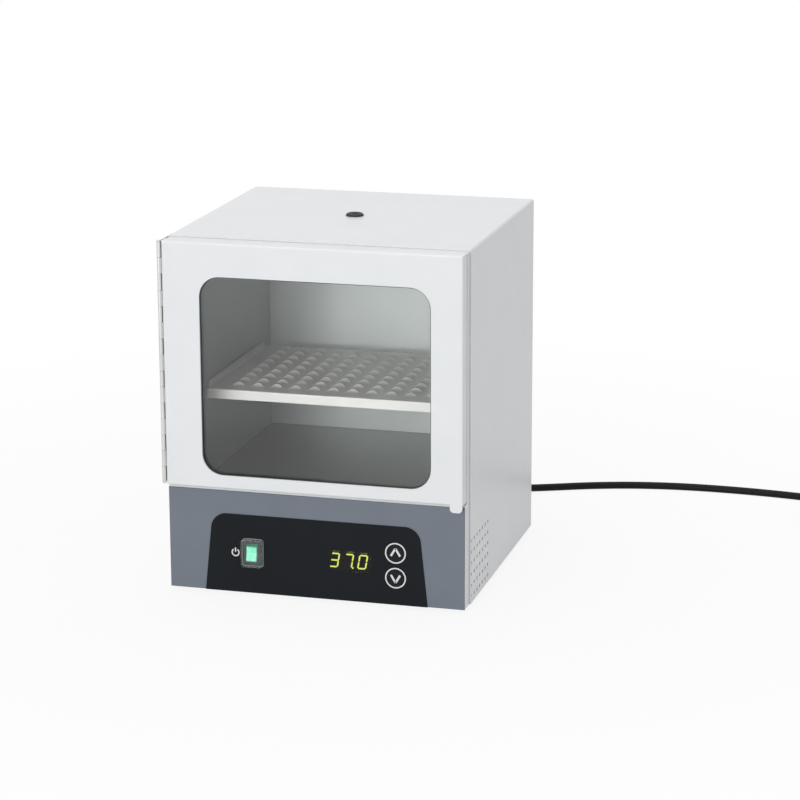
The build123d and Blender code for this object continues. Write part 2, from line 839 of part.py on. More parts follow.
def door_seal():
    """Soft rubber seal round the opening, on the back of the door."""
    outer_x = wider((-opening_half, opening_half), seal_width + seal_margin)
    lowest = max(opening_z[0] - seal_width, door_inner_z()[0] + seat)
    outer_z = (lowest, opening_z[1] + seal_width + seal_margin)
    inner_z = (opening_z[0] - seal_margin / 5, opening_z[1] + seal_margin)
    y = (door_thickness, door_thickness + seal_thickness)
    ring = rounded(outer_x, y, outer_z, opening_radius + seal_width)
    return ring - rounded(wider(outer_x, -seal_width), wider(y, 1), inner_z, opening_radius)


def knuckle_span(k):
    """Low and high end of one knuckle."""
    low = hinge_low + k * knuckle_pitch
    return (low + knuckle_gap / 2, low + knuckle_pitch - knuckle_gap / 2)


def hinge_leaf(x, root_y, end_y, first):
    """A leaf with every second knuckle, notched where the other leaf's knuckles turn."""
    leaf = block(x, (leaf_start, end_y), (hinge_low, hinge_high))
    tubes = []
    for k in range(first, knuckle_count, 2):
        z = knuckle_span(k)
        tubes.append(rod(hinge_x, hinge_y, z[0], barrel_radius, z[1] - z[0]))
        tubes.append(block(x, (root_y, leaf_start + 0.5), z))
    leaf += tubes
    return leaf - rod(hinge_x, hinge_y, hinge_low - 1, pin_radius + pin_clearance, hinge_high - hinge_low + 2)


def body_leaf_x():
    """Outer and inner face of the fixed leaf, flat on the cabinet's left side."""
    return (-half_width - leaf_sheet, -half_width)


def door_leaf_x():
    """Outer and inner face of the moving leaf, flat on the door's left edge."""
    return (-door_half - leaf_sheet, -door_half)


def hinge_pin():
    """Pin through all the knuckles, peened over at both ends."""
    length = hinge_high - hinge_low
    pin = rod(hinge_x, hinge_y, hinge_low, pin_radius, length)
    pin += rod(hinge_x, hinge_y, hinge_low - pin_head, pin_head_radius, pin_head)
    return pin + rod(hinge_x, hinge_y, hinge_high, pin_head_radius, pin_head)


def leaf_screws():
    """Flat-head screws through the fixed leaf into the cabinet's side."""
    y = (cover_start + body_leaf_end) / 2
    face = -half_width - leaf_sheet
    shapes = []
    for k in range(leaf_screw_count):
        z = hinge_low + (hinge_high - hinge_low) * (k + 0.5) / leaf_screw_count
        head = Pos(face - leaf_screw_head / 2, y, z) * Rot(0, 90, 0)
        shapes.append(head * Cylinder(leaf_screw_radius, leaf_screw_head))
    return Compound(shapes)


def power_board():
    """Horizontal circuit board on posts, with its ribbon socket."""
    z = base + pan_sheet + power_board_rise
    x, y = span(power_board_x, power_board_width), span(power_board_y, power_board_depth)
    board = block(x, y, (z, z + board_sheet))
    socket_y = (y[0], y[0] + 6)
    return board + block(span(ribbon_x(), ribbon_width + 4), socket_y, (z + board_sheet, z + board_sheet + 5))


def power_standoffs():
    """Hexagonal posts under the power board."""
    posts = []
    hexagon = RegularPolygon(standoff_radius, 6)
    for dx in (-power_board_width / 2 + standoff_inset, power_board_width / 2 - standoff_inset):
        for dy in (-power_board_depth / 2 + standoff_inset, power_board_depth / 2 - standoff_inset):
            at = Pos(power_board_x + dx, power_board_y + dy, base + pan_sheet)
            posts.append(at * extrude(hexagon, power_board_rise))
    return Compound(posts)


def board_top():
    """Height of the power board's upper face."""
    return base + pan_sheet + power_board_rise + board_sheet


def transformer():
    """Laminated core with its winding bobbin standing out at both sides."""
    length, depth, height = transformer_size
    x, y = power_board_x - power_board_width / 4, power_board_y + 6
    z = board_top()
    core = block(span(x, length), span(y, depth * 0.55), (z, z + height))
    bobbin = rounded(span(x, length * 0.62), span(y, depth), (z + 4, z + height - 4), 3.0, Axis.X)
    return core + bobbin


def relay():
    """Sealed relay that switches the heater."""
    width, depth, height = relay_size
    z = board_top()
    x, y = span(power_board_x + 14, width), span(power_board_y + 14, depth)
    box = rounded(x, y, (z, z + height), 1.0, Axis.Z)
    return fillet(box.faces().sort_by(Axis.Z)[-1].edges(), 0.8)


def fuse():
    """Glass fuse between its two clips."""
    z = board_top() + fuse_radius + 1.5
    x, y = power_board_x + 8, power_board_y - 14
    tube = rod(x - fuse_length / 2, y, z, fuse_radius, fuse_length, "x")
    for end in (-1, 1):
        middle = x + end * (fuse_length / 2 - 3)
        clip = block(span(middle, 5), span(y, 2 * fuse_radius + 1.6), (board_top(), z + 1))
        tube += clip
    return tube


def terminal_block():
    """Row of screw terminals for the mains lead, with a well over each screw."""
    length = terminal_count * terminal_pitch
    x = span(power_board_x + power_board_width / 2 - terminal_block_depth / 2 - 2, terminal_block_depth)
    y = span(power_board_y, length)
    z = board_top()
    shape = block(x, y, (z, z + terminal_block_height))
    shape -= block((x[0] - 1, x[0] + 6), wider(y, 1), (z + 8, z + terminal_block_height + 1))
    for k in range(terminal_count):
        middle = y[0] + terminal_pitch * (k + 0.5)
        well = rod((x[0] + x[1]) / 2 + 3, middle, z + 5, 2.4, terminal_block_height)
        shape -= well
    return shape


def ribbon_cable():
    """Flat cable from the front board's socket down and back to the power board's socket."""
    start_y = front_board_y + board_sheet + 5
    start_z = sum(ribbon_socket_z()) / 2
    end_y = power_board_y - power_board_depth / 2 + 3
    end_z = board_top() + 5
    path = FilletPolyline(
        (ribbon_x(), start_y, start_z),
        (ribbon_x(), (start_y + end_y) / 2, start_z),
        (ribbon_x(), end_y, end_z + 12),
        (ribbon_x(), end_y, end_z),
        radius=6,
    )
    start = Plane(origin=path @ 0, x_dir=(1, 0, 0), z_dir=path % 0)
    return sweep(start * Rectangle(ribbon_width, ribbon_thickness), path=path)


def cord_bushing():
    """Moulded strain relief: a flange on the rear sheet and a tapered, grooved sleeve."""
    start, tip = rear_face, bushing_tip
    profile = [
        (0, start - rear_sheet - 3),
        (bushing_root_radius - 0.3, start - rear_sheet - 3),
        (bushing_root_radius - 0.3, start),
        (bushing_flange_radius, start),
        (bushing_flange_radius - 0.6, start + bushing_flange),
        (bushing_root_radius, start + bushing_flange),
    ]
    rings = 5
    step = (tip - start - bushing_flange - 4) / rings
    for k in range(rings):
        y = start + bushing_flange + step * k
        radius = bushing_root_radius + (bushing_tip_radius - bushing_root_radius) * k / rings
        profile += [(radius, y + step * 0.6), (radius - 0.9, y + step * 0.7), (radius - 0.9, y + step)]
        profile += [(radius - 0.3, y + step)]
    profile += [(bushing_tip_radius, tip - 4), (bushing_tip_radius, tip), (0, tip)]
    face = make_face(Polyline(*profile, close=True))
    return Pos(cord_exit_x, 0, cord_exit_z) * revolve(face, Axis.Y)


def corner_radii(points):
    """The largest arc that each corner's two runs allow."""
    radii = []
    for before, here, after in zip(points, points[1:], points[2:]):
        one, two = Vector(*here) - Vector(*before), Vector(*after) - Vector(*here)
        radii.append(0.45 * min(one.length, two.length) / tan(radians(one.get_angle(two)) / 2))
    return radii


def cord_tube(name, points):
    """Round tube along straight runs joined by tangent arcs."""
    radii = corner_radii(points)
    path = FilletPolyline(*points, radius=radii)
    section = Plane(origin=path @ 0, z_dir=path % 0) * Circle(cord_radius)
    tube = sweep(section, path=path)
    expected = pi * cord_radius**2 * path.length
    print(name, "length", round(path.length, 1), "radii", [round(r) for r in radii])
    print(name, "volume over section times length", round(tube.volume / expected, 4))
    return tube


def cord_coil():
    """Outer shape of the wound cord: a ring of twelve-sided section, gripped by the tie."""
    section = Pos(coil_turn_radius, coil_level) * RegularPolygon(coil_bundle + 2 * tie_slack, 12)
    return Pos(coil_x, coil_y, 0) * revolve(Plane.XZ * section, Axis.Z)


def cord_tie():
    """Band wrapped once round the coil's turns."""
    inner = coil_bundle + tie_slack
    at = (coil_x - coil_turn_radius, coil_y - tie_width / 2, coil_level)
    return rod(*at, inner + tie_thickness, tie_width, "y") - rod(*at, inner, tie_width, "y")


def plug_place():
    """Where the cord enters the plug."""
    return Vector(*tail_route[-1])


def plug_body():
    """Moulded plug lying on its side: a tapered grip and a neck over the cord."""
    at = plug_place()
    neck = Cone(cord_radius + 0.6, plug_neck_radius, plug_neck_length, align=standing)
    start, end = at.Y - plug_neck_length + 1, plug_face_y()
    back = Plane((at.X, start, plug_thickness / 2), x_dir=(1, 0, 0), z_dir=(0, -1, 0))
    front = Plane((at.X, end, plug_thickness / 2), x_dir=(1, 0, 0), z_dir=(0, -1, 0))
    grip = loft([
        back * RectangleRounded(plug_width * 0.6, plug_thickness * 0.7, 4.0),
        front * RectangleRounded(plug_width, plug_thickness, 4.0),
    ])
    return Pos(at.X, at.Y, at.Z) * Rot(90, 0, 0) * neck + grip


def plug_face_y():
    """The plug's face, where its blades come out."""
    return plug_place().Y - plug_neck_length - plug_length


def plug_blades():
    """Two flat blades with a hole near each tip, and the round earth pin beside them."""
    face, middle = plug_face_y(), plug_thickness / 2
    blade_x = plug_place().X + earth_pin_offset / 3
    shapes = []
    for side in (-1, 1):
        z = middle + side * blade_spacing / 2
        blade = block(span(blade_x, blade_width), (face - blade_length, face), span(z, blade_thickness))
        shapes.append(blade - rod(blade_x, face - blade_length + 4.5, z - 2, 1.5, 4))
    pin_x = blade_x - earth_pin_offset
    pin = rod(pin_x, face - earth_pin_length, middle, earth_pin_radius, earth_pin_length, "y")
    shapes.append(fillet(pin.edges().group_by(Axis.Y)[0], earth_pin_radius * 0.8))
    return Compound(shapes)


def all_parts():
    """Every node by its name."""
    parts = {
        "base_pan": base_pan(),
        "outer_cover": outer_cover(),
        "rear_panel": rear_panel(),
        "rear_screws": rear_screws(),
        "front_frame": front_frame(),
        "magnet_catch": magnet_catch(),
        "chamber_liner": chamber_liner(),
        "heater_mat": heater_mat(),
        "temperature_sensor": temperature_sensor(),
        "thermal_cutout": thermal_cutout(),
        "port_tube": port_tube(),
        "port_grommet": port_grommet(),
        "shelf_rail_left": shelf_rail(-1),
        "shelf_rail_right": shelf_rail(1),
        "shelf": shelf(),
        "control_panel": control_panel(),
        "panel_overlay": panel_overlay(),
        "display_lens": display_lens(),
        "display_module": display_module(),
        "control_board": control_board(),
        "front_standoffs": front_standoffs(),
        "key_switches": key_switches(),
        "key_down": key(key_z[0]),
        "key_up": key(key_z[1]),
        "switch_body": switch_body(),
        "rocker": rocker(),
        "switch_hood": switch_hood(),
        "door_shell": door_shell(),
        "window_trim": window_trim(),
        "window_pane": window_pane(),
        "door_frame": door_frame(),
        "door_strike": door_strike(),
        "door_seal": door_seal(),
        "hinge_body_leaf": hinge_leaf(body_leaf_x(), hinge_y + pin_radius + 0.4, body_leaf_end, 0),
        "hinge_door_leaf": hinge_leaf(door_leaf_x(), hinge_y, door_thickness - seat, 1),
        "hinge_pin": hinge_pin(),
        "leaf_screws": leaf_screws(),
        "power_board": power_board(),
        "power_standoffs": power_standoffs(),
        "transformer": transformer(),
        "relay": relay(),
        "fuse": fuse(),
        "terminal_block": terminal_block(),
        "ribbon_cable": ribbon_cable(),
        "cord_bushing": cord_bushing(),
        "power_cord": cord_tube("power_cord", cord_route),
        "cord_coil": cord_coil(),
        "cord_tail": cord_tube("cord_tail", tail_route),
        "cord_tie": cord_tie(),
        "plug_body": plug_body(),
        "plug_blades": plug_blades(),
    }
    parts.update(insulation())
    for name, x, y in foot_places():
        parts[name] = foot(x, y)
    return parts


# Shift to the middle of the box round everything but the cord, measured over the hinge and the rear edge
shift_x = -((hinge_x - barrel_radius) + half_width) / 2
shift_y = -((hinge_y - barrel_radius) + cabinet_depth) / 2

os.makedirs("parts", exist_ok=True)
for node, shape in all_parts().items():
    export_step(Pos(shift_x, shift_y, 0) * shape, f"parts/{node}.step")
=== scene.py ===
import math

import bmesh
import bpy
from mathutils import Matrix, Vector


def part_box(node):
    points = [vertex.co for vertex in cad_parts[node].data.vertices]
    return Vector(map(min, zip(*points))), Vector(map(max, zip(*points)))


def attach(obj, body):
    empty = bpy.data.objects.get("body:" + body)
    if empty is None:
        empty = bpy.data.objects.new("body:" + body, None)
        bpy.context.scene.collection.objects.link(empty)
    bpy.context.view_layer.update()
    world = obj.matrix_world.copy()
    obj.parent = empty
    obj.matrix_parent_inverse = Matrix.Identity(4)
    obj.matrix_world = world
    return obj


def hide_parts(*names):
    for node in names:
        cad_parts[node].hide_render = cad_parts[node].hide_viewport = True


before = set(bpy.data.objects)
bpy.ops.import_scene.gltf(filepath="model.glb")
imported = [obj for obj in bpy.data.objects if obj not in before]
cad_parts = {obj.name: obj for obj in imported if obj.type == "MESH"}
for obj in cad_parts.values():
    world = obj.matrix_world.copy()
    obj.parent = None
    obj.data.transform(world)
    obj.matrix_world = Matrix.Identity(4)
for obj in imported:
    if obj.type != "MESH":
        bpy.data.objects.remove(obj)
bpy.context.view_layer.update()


# Camera: the photograph's viewpoint, a long lens a little to the right of the cabinet and above it.
camera_place = Vector((0.666695, -2.286795, 0.76927))
camera_yaw, camera_pitch, camera_roll = 15.26, 75.35, -0.21
camera_lens, sensor_width = 126.36, 36.0
camera_data = bpy.data.cameras.new("camera")
camera_data.lens = camera_lens
camera_data.sensor_width = sensor_width
camera = bpy.data.objects.new("camera", camera_data)
camera.matrix_world = (
    Matrix.Translation(camera_place)
    @ Matrix.Rotation(math.radians(camera_yaw), 4, "Z")
    @ Matrix.Rotation(math.radians(camera_pitch), 4, "X")
    @ Matrix.Rotation(math.radians(camera_roll), 4, "Z")
)
bpy.context.scene.collection.objects.link(camera)
bpy.context.scene.camera = camera
bpy.context.scene.view_settings.view_transform = "Standard"


# Mains cord: three cores in a round black rubber jacket of 7 mm, extruded in one length. It leaves the
# moulded bushing, runs along the table to the right, and the spare length is wound into a hank whose
# turns lie in a round bundle; the last short length goes into the plug.
def linear(code):
    """The linear colour of an sRGB hex value."""
    parts = [int(code[k : k + 2], 16) / 255 for k in (0, 2, 4)]
    return [c / 12.92 if c <= 0.04045 else ((c + 0.055) / 1.055) ** 2.4 for c in parts] + [1.0]


def add(tree, kind, inputs, **settings):
    """Adds a node with its settings. Each socket gets a value, or a link to another node's output."""
    node = tree.nodes.new("ShaderNode" + kind)
    for name, value in settings.items():
        setattr(node, name, value)
    for socket, value in inputs.items():
        if isinstance(value, bpy.types.NodeSocket):
            tree.links.new(value, node.inputs[socket])
        else:
            node.inputs[socket].default_value = value
    return node


def new_material(name):
    """An empty material and its node tree."""
    material = bpy.data.materials.new(name)
    material.use_nodes = True
    material.node_tree.nodes.clear()
    return material, material.node_tree


def grained(name, dark, light, roughness, grain, relief, **shader):
    """A finish whose tone drifts over 40 mm, with a grain that also varies its gloss (sizes in metres)."""
    drift_size, spread = 0.04, 0.08
    material, tree = new_material(name)
    place = add(tree, "TexCoord", {}).outputs["Object"]
    drift = add(tree, "TexNoise", {"Vector": place, "Scale": 1 / drift_size, "Detail": 3.0})
    fine = add(tree, "TexNoise", {"Vector": place, "Scale": 1 / grain, "Detail": 2.0})
    tone = add(tree, "Mix", {0: drift.outputs[0], 6: linear(dark), 7: linear(light)}, data_type="RGBA")
    gloss = {"Value": fine.outputs[0], "To Min": roughness - spread, "To Max": roughness + spread}
    bump = add(tree, "Bump", {"Height": fine.outputs[0], "Strength": 1.0, "Distance": relief})
    sockets = {
        "Base Color": tone.outputs[2],
        "Roughness": add(tree, "MapRange", gloss).outputs[0],
        "Normal": bump.outputs[0],
    }
    for key, value in shader.items():
        sockets[key.replace("_", " ").title().replace("Ior", "IOR")] = value
    add(tree, "OutputMaterial", {"Surface": add(tree, "BsdfPrincipled", sockets).outputs[0]})
    return material


def dress(material, *nodes):
    """Gives CAD nodes their finish."""
    for node in nodes:
        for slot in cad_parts[node].material_slots:
            slot.material = material


def keep(piece, material, body="cabinet"):
    """Puts a new piece in the scene with its finish and the body that it rides on."""
    piece.data.materials.append(material)
    bpy.context.scene.collection.objects.link(piece)
    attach(piece, body)
    return piece


# Rubber jacket: extruded, so smooth with a faint matt drift and a low sheen
cord_rubber = grained(
    "extruded_rubber_jacket", "08080A", "101012", 0.45, 0.0016, 0.00004, specular_ior_level=0.15,
)

cord_diameter = 0.007
cord_route = [
    (0.061725, 0.156325, 0.0340), (0.061725, 0.179025, 0.0340), (0.065225, 0.202025, 0.0265),
    (0.076725, 0.223025, 0.0135), (0.097225, 0.239525, 0.0048), (0.125225, 0.255025, 0.0036),
    (0.159225, 0.270025, 0.0036), (0.199225, 0.282025, 0.0036), (0.242225, 0.288525, 0.0036),
    (0.287225, 0.289525, 0.0036), (0.331225, 0.286525, 0.0037), (0.371225, 0.280525, 0.0039),
    (0.411225, 0.271525, 0.0044),
]
tail_route = [
    (0.472425, 0.207025, 0.0102), (0.472625, 0.190025, 0.0105),
    (0.473125, 0.174025, 0.0108), (0.474025, 0.161025, 0.0110),
]
hank_middle = Vector((0.424225, 0.223025, 0.0104))
hank_radius = 0.042
hank_first, hank_turns = 76.0, 4
strand_ring, strand_first, strand_step = 0.0061, -60.0, -72.0
hank_points = 68

hank = []
hank_sweep = hank_first + 360.0 * hank_turns
spline_reach = 1 / math.cos(math.radians(hank_sweep / hank_points / 2))
for k in range(hank_points + 1):
    turned = hank_sweep * k / hank_points
    angle = math.radians(hank_first - turned)
    strand = math.radians(strand_first + strand_step * turned / 360.0)
    reach = (hank_radius + strand_ring * math.cos(strand)) * spline_reach
    point = Vector((reach * math.cos(angle), reach * math.sin(angle), strand_ring * math.sin(strand)))
    hank.append(tuple(hank_middle + point))

cord_curve = bpy.data.curves.new("mains_cord", "CURVE")
cord_curve.dimensions = "3D"
cord_line = cord_curve.splines.new("NURBS")
cord_points = cord_route + hank + tail_route
cord_line.points.add(len(cord_points) - 1)
for point, place in zip(cord_line.points, cord_points):
    point.co = (*place, 1.0)
cord_line.order_u = 3
cord_line.use_endpoint_u = True
cord_line.resolution_u = 6
cord_curve.bevel_depth = cord_diameter / 2
cord_curve.bevel_resolution = 5
cord_curve.use_fill_caps = True
mains_cord = keep(bpy.data.objects.new("mains_cord", cord_curve), cord_rubber)
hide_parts("power_cord", "cord_coil", "cord_tail")

# Bushing, plug and tie of the cord: the bushing is moulded round the jacket with grooves that let it bend,
# the plug is moulded in the same rubber over its brass pins, and a woven strap holds the hank.
moulded_rubber = grained("moulded_black_rubber", "0E0E0F", "1B1B1D", 0.55, 0.0009, 0.00006)
dress(moulded_rubber, "cord_bushing", "plug_body")

# Strap: black nylon tape with weft ribs across the band, drawn 2.4 mm apart
wave_span = math.pi / 10          # a wave texture of scale 1 repeats at this distance
rib_pitch = 0.002375
nylon_tape, tree = new_material("woven_nylon_tape")
place = add(tree, "TexCoord", {}).outputs["Object"]
ribs = add(tree, "TexWave", {
    "Vector": place, "Scale": wave_span / rib_pitch, "Distortion": 0.4,
}, bands_direction="Y")
tape_tone = add(tree, "Mix", {
    0: ribs.outputs[1], 6: linear("101012"), 7: linear("26262A"),
}, data_type="RGBA")
tape_bump = add(tree, "Bump", {"Height": ribs.outputs[1], "Strength": 1.0, "Distance": 0.0001})
tape_shader = add(tree, "BsdfPrincipled", {
    "Base Color": tape_tone.outputs[2], "Normal": tape_bump.outputs[0],
    "Roughness": 0.8, "Sheen Weight": 0.3,
})
add(tree, "OutputMaterial", {"Surface": tape_shader.outputs[0]})
dress(nylon_tape, "cord_tie")


# Cabinet: one steel sheet folded over both sides and the top, a rear sheet and a front frame set into it,
# all powder-coated in a slightly cool white and baked.
# Powder coat: sprayed and melted, so satin with an orange peel that is drawn at 3 mm
powder_coat = grained(
    "white_powder_coat", "E0E3E5", "E7E9EB", 0.38, 0.003, 0.00003, coat_weight=0.15, coat_roughness=0.25,
)
dress(powder_coat, "outer_cover", "rear_panel", "front_frame")

# Zinc plate: pressed sheet with a dull grey bloom
zinc_plate = grained("zinc_plated_sheet", "8B8E90", "A3A6A6", 0.42, 0.004, 0.00002, metallic=1.0)
dress(zinc_plate, "base_pan", "door_strike")

# Feet: moulded black rubber
foot_rubber = grained("moulded_foot_rubber", "161617", "242426", 0.7, 0.0008, 0.00008)
dress(foot_rubber, "foot_front_left", "foot_front_right", "foot_rear_left", "foot_rear_right")


def screw_head(shape, place, radius, height, recess):
    """A pan head: a plus is sunk into its flat top, and its side rounds off in three steps."""
    flat_share, arm_share, sides = 0.72, 0.28, 24
    top = bmesh.ops.create_circle(shape, segments=sides, radius=radius * flat_share)["verts"]
    rim = list(dict.fromkeys(e for v in top for e in v.link_edges))
    arm, half = recess, recess * arm_share
    corners = []
    for quarter in range(4):
        turn = Matrix.Rotation(math.pi / 2 * quarter, 4, "Z")
        corners += [turn @ Vector(c) for c in ((arm, -half, 0), (arm, half, 0), (half, half, 0))]
    cross = [shape.verts.new(c) for c in corners]
    walls = [shape.edges.new((cross[k - 1], cross[k])) for k in range(len(cross))]
    bmesh.ops.triangle_fill(shape, use_beauty=True, edges=rim + walls)
    made = set(top) | set(cross)
    for edges, steps, closed in (
        (walls, ((0.85, 0.7),), True),
        (rim, ((1.2, 0.12), (1.12, 0.28), (1.034, 0.6)), False),
    ):
        for scale, drop in steps:
            spun = bmesh.ops.extrude_edge_only(shape, edges=edges)["geom"]
            verts = [g for g in spun if isinstance(g, bmesh.types.BMVert)]
            edges = [g for g in spun if isinstance(g, bmesh.types.BMEdge) and g.is_boundary]
            for v in verts:
                v.co.x *= scale
                v.co.y *= scale
                v.co.z -= height * drop
            made |= set(verts)
        if closed:
            bmesh.ops.contextual_create(shape, geom=edges)
    bmesh.ops.transform(shape, matrix=place @ Matrix.Translation((0, 0, height)), verts=list(made))


same_place = 1e-6         # vertices closer than this are one


def piece_of(name, shape):
    """A new object from a bmesh, its faces turned outwards and its soft edges shaded smooth."""
    smooth_below = 35.0
    bmesh.ops.remove_doubles(shape, verts=shape.verts, dist=same_place)
    bmesh.ops.recalc_face_normals(shape, faces=shape.faces)
    mesh = bpy.data.meshes.new(name)
    shape.to_mesh(mesh)
    shape.free()
    mesh.shade_smooth()
    mesh.set_sharp_from_angle(angle=math.radians(smooth_below))
    return bpy.data.objects.new(name, mesh)


# Rear screws: plated pan heads of 5.8 mm with a cross recess, three along the rear sheet's top and three
# along its foot.
# Bright plate: nickel over turned steel, glossy with a faint uneven grain
bright_plate = grained("bright_nickel_plate", "B9BABA", "D6D6D4", 0.22, 0.0011, 0.00001, metallic=1.0)
rear_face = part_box("rear_panel")[1].y
rear_low, rear_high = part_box("rear_screws")
rear_radius, rear_height, rear_cross, rear_turn = 0.0029, 0.0013, 0.0017, 0.7
rear_x = (rear_low.x + rear_radius, (rear_low.x + rear_high.x) / 2, rear_high.x - rear_radius)
rear_z = (rear_low.z + rear_radius, rear_high.z - rear_radius)
screws = bmesh.new()
for number, (x, z) in enumerate([(x, z) for x in rear_x for z in rear_z]):
    stand = Matrix.Rotation(-math.pi / 2, 4, "X") @ Matrix.Rotation(rear_turn * number, 4, "Z")
    screw_head(screws, Matrix.Translation((x, rear_face, z)) @ stand, rear_radius, rear_height, rear_cross)
rear_heads = keep(piece_of("rear_screw_heads", screws), bright_plate)
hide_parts("rear_screws")

# Probe port: a rubber ring sprung into the top sheet, over a white plastic tube through the insulation
port_rubber = grained("moulded_port_rubber", "0C0C0D", "1A1A1B", 0.5, 0.0012, 0.00005)
dress(port_rubber, "port_grommet")
tube_plastic = grained(
    "extruded_white_tube", "D5D7D5", "E2E3E1", 0.45, 0.002, 0.00002, subsurface_weight=0.05,
)
dress(tube_plastic, "port_tube")


# Chamber: folded stainless sheet with a dull rolled finish. Two rails are spot-welded to its sides, and the
# shelf that lies on them is pressed from the same sheet, a half-moon louvre lanced up at every 17 mm.
def rolled(name, dark, light, roughness, run, relief, metallic, shaded_below=None):
    """Rolled sheet metal: fine lines 1.2 mm apart and 60 mm long along one axis, over a cloudy drift.

    Below the height that the last argument gives, a darker colour is painted on: painted shade for a floor
    in shadow."""
    line_pitch, line_length, cloud_size, spread = 0.0012, 0.06, 0.05, 0.015
    material, tree = new_material(name)
    place = add(tree, "TexCoord", {}).outputs["Object"]
    stretch = [1 / line_pitch] * 3
    stretch[run] = 1 / line_length
    lines = add(tree, "Mapping", {"Vector": place, "Scale": stretch})
    grain = add(tree, "TexNoise", {"Vector": lines.outputs[0], "Scale": 1.0, "Detail": 2.0})
    cloud = add(tree, "TexNoise", {"Vector": place, "Scale": 1 / cloud_size, "Detail": 3.0})
    tone = add(tree, "Mix", {0: cloud.outputs[0], 6: linear(dark), 7: linear(light)}, data_type="RGBA")
    gloss = {"Value": grain.outputs[0], "To Min": roughness - spread, "To Max": roughness + spread}
    bump = add(tree, "Bump", {"Height": grain.outputs[0], "Strength": 1.0, "Distance": relief})
    colour = tone.outputs[2]
    if shaded_below:
        level, shade_colour = shaded_below
        height = add(tree, "SeparateXYZ", {0: place}).outputs["Z"]
        below = add(tree, "Math", {0: height, 1: level}, operation="LESS_THAN")
        tone = add(tree, "Mix", {0: below.outputs[0], 6: colour, 7: linear(shade_colour)}, data_type="RGBA")
        colour = tone.outputs[2]
    shader = add(tree, "BsdfPrincipled", {
        "Base Color": colour, "Metallic": metallic, "Normal": bump.outputs[0],
        "Roughness": add(tree, "MapRange", gloss).outputs[0],
    })
    add(tree, "OutputMaterial", {"Surface": shader.outputs[0]})
    return material


chamber_floor = 0.0925
# Painted shade: the chamber's floor, below chamber_floor, is painted darker than the walls.
chamber_sheet = rolled(
    "rolled_stainless_sheet", "9EA3A1", "A9ADAB", 0.4, 1, 0.0000012, 0.84, shaded_below=(chamber_floor, "4E534F"),
)
dress(chamber_sheet, "chamber_liner", "shelf_rail_left", "shelf_rail_right", "temperature_sensor")
shelf_sheet = rolled("pressed_stainless_shelf", "B5B4B0", "C7C6C2", 0.52, 0, 0.0000012, 0.4)

# The shelf is stamped cell by cell: each louvre stays joined at its straight root and curls up towards the
# arc that was lanced behind it. The plain margins are folded down in front and behind, and up at both sides.
shelf_low, shelf_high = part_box("shelf")
sheet_thickness, fold_radius = 0.001, 0.0011
front_lip, side_upstand, rear_lip = 0.0084, 0.006, 0.005
louvre_columns, louvre_rows, louvre_pitch, louvre_margin = 11, 9, 0.017, 0.0125
louvre_radius, louvre_rise, louvre_curl = 0.0066, 0.0026, 3.4
arc_steps, curl_cuts, fold_steps = 24, (0.45, 0.62, 0.76, 0.88), 4
cut_reach = 10 * same_place       # a cut takes in the vertices this near, so that its line is closed


def flat_half_moon(cuts):
    """Half of a disc with its straight side along x, cut across at shares of its radius."""
    moon = bmesh.new()
    bmesh.ops.create_circle(moon, cap_ends=True, segments=arc_steps, radius=louvre_radius)
    for share in (0.0, *cuts):
        whole = list(moon.verts) + list(moon.edges) + list(moon.faces)
        line = (0, louvre_radius * share, 0)
        bmesh.ops.bisect_plane(
            moon, geom=whole, dist=cut_reach, plane_co=line, plane_no=(0, 1, 0), clear_inner=share == 0.0,
        )
    mesh = bpy.data.meshes.new("half_moon")
    moon.to_mesh(mesh)
    moon.free()
    return mesh


cell = bmesh.new()
cell.from_mesh(flat_half_moon(()))
bmesh.ops.delete(cell, geom=list(cell.faces), context="FACES_ONLY")
half_pitch = louvre_pitch / 2
corners = [
    cell.verts.new((half_pitch * x, half_pitch * y, 0)) for x, y in ((-1, -1), (1, -1), (1, 1), (-1, 1))
]
for k in range(len(corners)):
    cell.edges.new((corners[k - 1], corners[k]))
bmesh.ops.triangle_fill(cell, use_beauty=True, edges=list(cell.edges), normal=(0, 0, 1))
flat_verts = set(cell.verts)
cell.from_mesh(flat_half_moon(curl_cuts))
for v in set(cell.verts) - flat_verts:
    v.co.z = louvre_rise * max(0.0, v.co.y / louvre_radius) ** louvre_curl
bmesh.ops.remove_doubles(cell, verts=cell.verts, dist=same_place)
cell_mesh = bpy.data.meshes.new("shelf_cell")
cell.to_mesh(cell_mesh)
cell.free()

shelf_shape = bmesh.new()
shelf_middle = (shelf_low.x + shelf_high.x) / 2
for column in range(louvre_columns):
    for row in range(louvre_rows):
        before = len(shelf_shape.verts)
        shelf_shape.from_mesh(cell_mesh)
        shelf_shape.verts.ensure_lookup_table()
        bmesh.ops.translate(shelf_shape, verts=shelf_shape.verts[before:], vec=(
            shelf_middle + louvre_pitch * (column - (louvre_columns - 1) / 2),
            shelf_low.y + louvre_margin + louvre_pitch * row, 0,
        ))
bmesh.ops.remove_doubles(shelf_shape, verts=shelf_shape.verts, dist=same_place)


def border(axis, place):
    """The open edges of the sheet that lie at one place along x (0) or y (1)."""
    return [
        e for e in shelf_shape.edges
        if e.is_boundary
        and all(max(abs(v.co[axis] - place), abs(v.co.z)) < same_place for v in e.verts)
    ]


def draw_out(edges, axis, distance):
    """Continues the sheet from its open edges by a distance along x (0), y (1) or z (2)."""
    out = bmesh.ops.extrude_edge_only(shelf_shape, edges=edges)["geom"]
    vec = Vector((0, 0, 0))
    vec[axis] = distance
    bmesh.ops.translate(shelf_shape, verts=[g for g in out if isinstance(g, bmesh.types.BMVert)], vec=vec)


